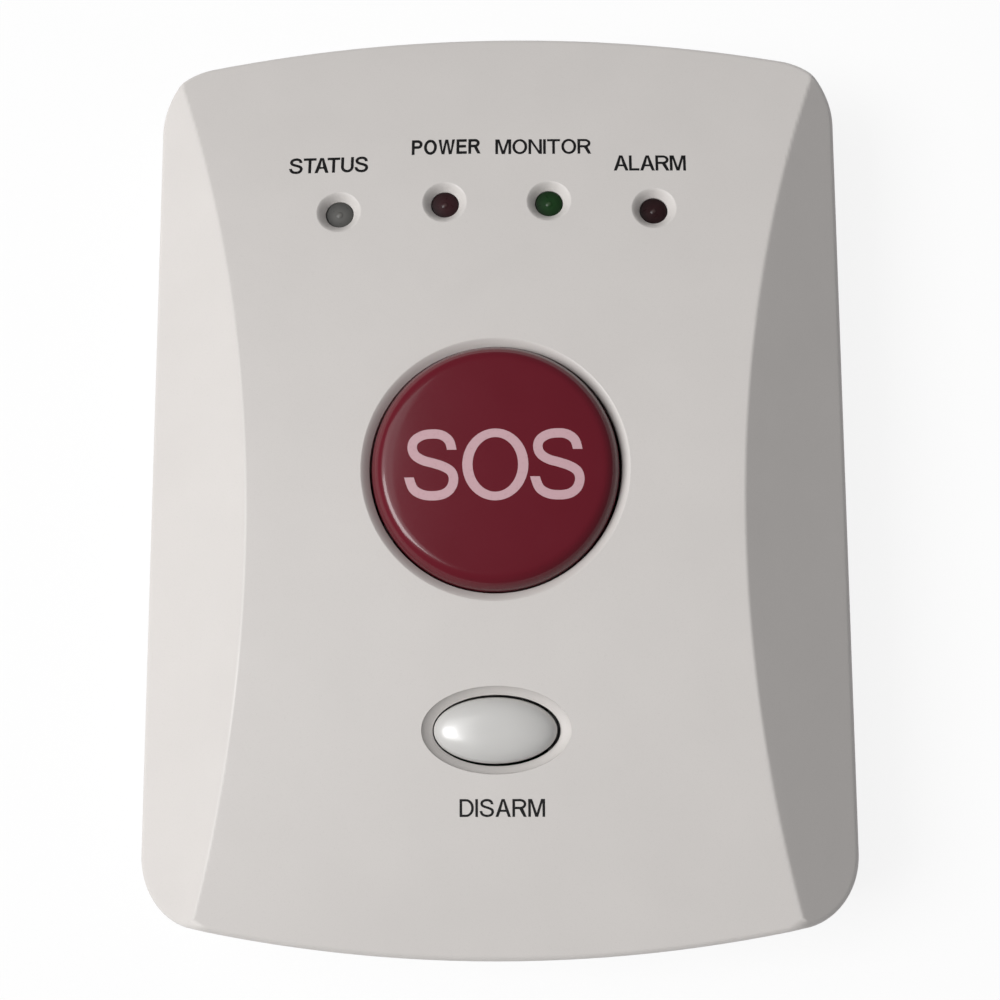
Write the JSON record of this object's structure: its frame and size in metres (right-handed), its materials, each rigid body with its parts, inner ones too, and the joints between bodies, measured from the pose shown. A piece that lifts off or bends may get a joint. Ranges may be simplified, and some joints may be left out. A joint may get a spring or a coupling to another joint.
{
  "type": "wireless panic button",
  "caption": "Alarm unit for wall or table: bowed case with an hourglass face, big round call button, oval release button and a shallow arc of indicator lamps.",
  "frame": {"origin": "on the surface the unit stands on, under the middle of the case, at the undersides of the rubber feet", "axes": "+X across the case to the right as seen from the front, +Y from the release button towards the lamps (up when hung on a wall), +Z out of the face"},
  "size_m": [0.082, 0.11, 0.0259],
  "materials": {
    "housing": "fine spark-eroded satin texture, warm light grey",
    "call_red": "smooth gloss, dark red",
    "release_white": "smooth gloss, off-white",
    "clear_lens": "moulded resin, clear with a grey-green cast",
    "red_lens": "tinted moulded resin, unlit dark red",
    "green_lens": "tinted moulded resin, unlit dark green",
    "foot_rubber": "matt black",
    "screw_steel": "zinc plated",
    "board_green": "solder resist over woven laminate",
    "black_plastic": "moulded black",
    "plug_white": "natural nylon",
    "shield_metal": "tinned sheet",
    "can_aluminium": "drawn can",
    "battery_sleeve": "heat-shrunk sleeve",
    "lead_sheath": "flexible insulation",
    "foam": "open foam",
    "speaker_frame": "black stoved basket with a plated magnet cup"
  },
  "bodies": {
    "housing": {"front_cover": "housing", "rear_cover": "housing", "rubber_foot_1": "foot_rubber", "rubber_foot_2": "foot_rubber", "rubber_foot_3": "foot_rubber", "rubber_foot_4": "foot_rubber", "case_screws": "screw_steel", "board_screws": "screw_steel", "circuit_board": "board_green", "status_lamp": "clear_lens", "power_lamp": "red_lens", "monitor_lamp": "green_lens", "alarm_lamp": "red_lens", "lamp_spacers": "black_plastic", "call_switch_body": "black_plastic", "release_switch_body": "black_plastic", "power_switch_body": "shield_metal", "charging_socket": "shield_metal", "radio_module": "shield_metal", "controller_chip": "black_plastic", "antenna_board": "board_green", "supply_coil": "can_aluminium", "battery_plug": "plug_white", "speaker_plug": "plug_white", "battery_lead": "lead_sheath", "speaker_lead": "lead_sheath", "battery_pack": "battery_sleeve", "speaker_gasket": "foam", "loudspeaker": "speaker_frame"},
    "call_button": {"call_cap": "call_red", "call_switch_plunger": "plug_white"},
    "release_button": {"release_cap": "release_white", "release_switch_plunger": "plug_white"},
    "power_slider": {"power_switch_knob": "black_plastic"},
    "bay_door": {"battery_door": "housing"}
  },
  "joints": [
    {"name": "call_press", "type": "slide", "parent": "housing", "child": "call_button", "axis": [0, 0, -1], "range_m": [0, 0.0012], "stiffness_N_per_m": 1200, "springref_m": -0.0008},
    {"name": "release_press", "type": "slide", "parent": "housing", "child": "release_button", "axis": [0, 0, -1], "range_m": [0, 0.0008], "stiffness_N_per_m": 1500, "springref_m": -0.0006},
    {"name": "power_slide", "type": "slide", "parent": "housing", "child": "power_slider", "axis": [0, 1, 0], "range_m": [0, 0.002]},
    {"name": "battery_door_slide", "type": "slide", "parent": "housing", "child": "bay_door", "axis": [0, -1, 0], "range_m": [0, 0.046]}
  ]
}
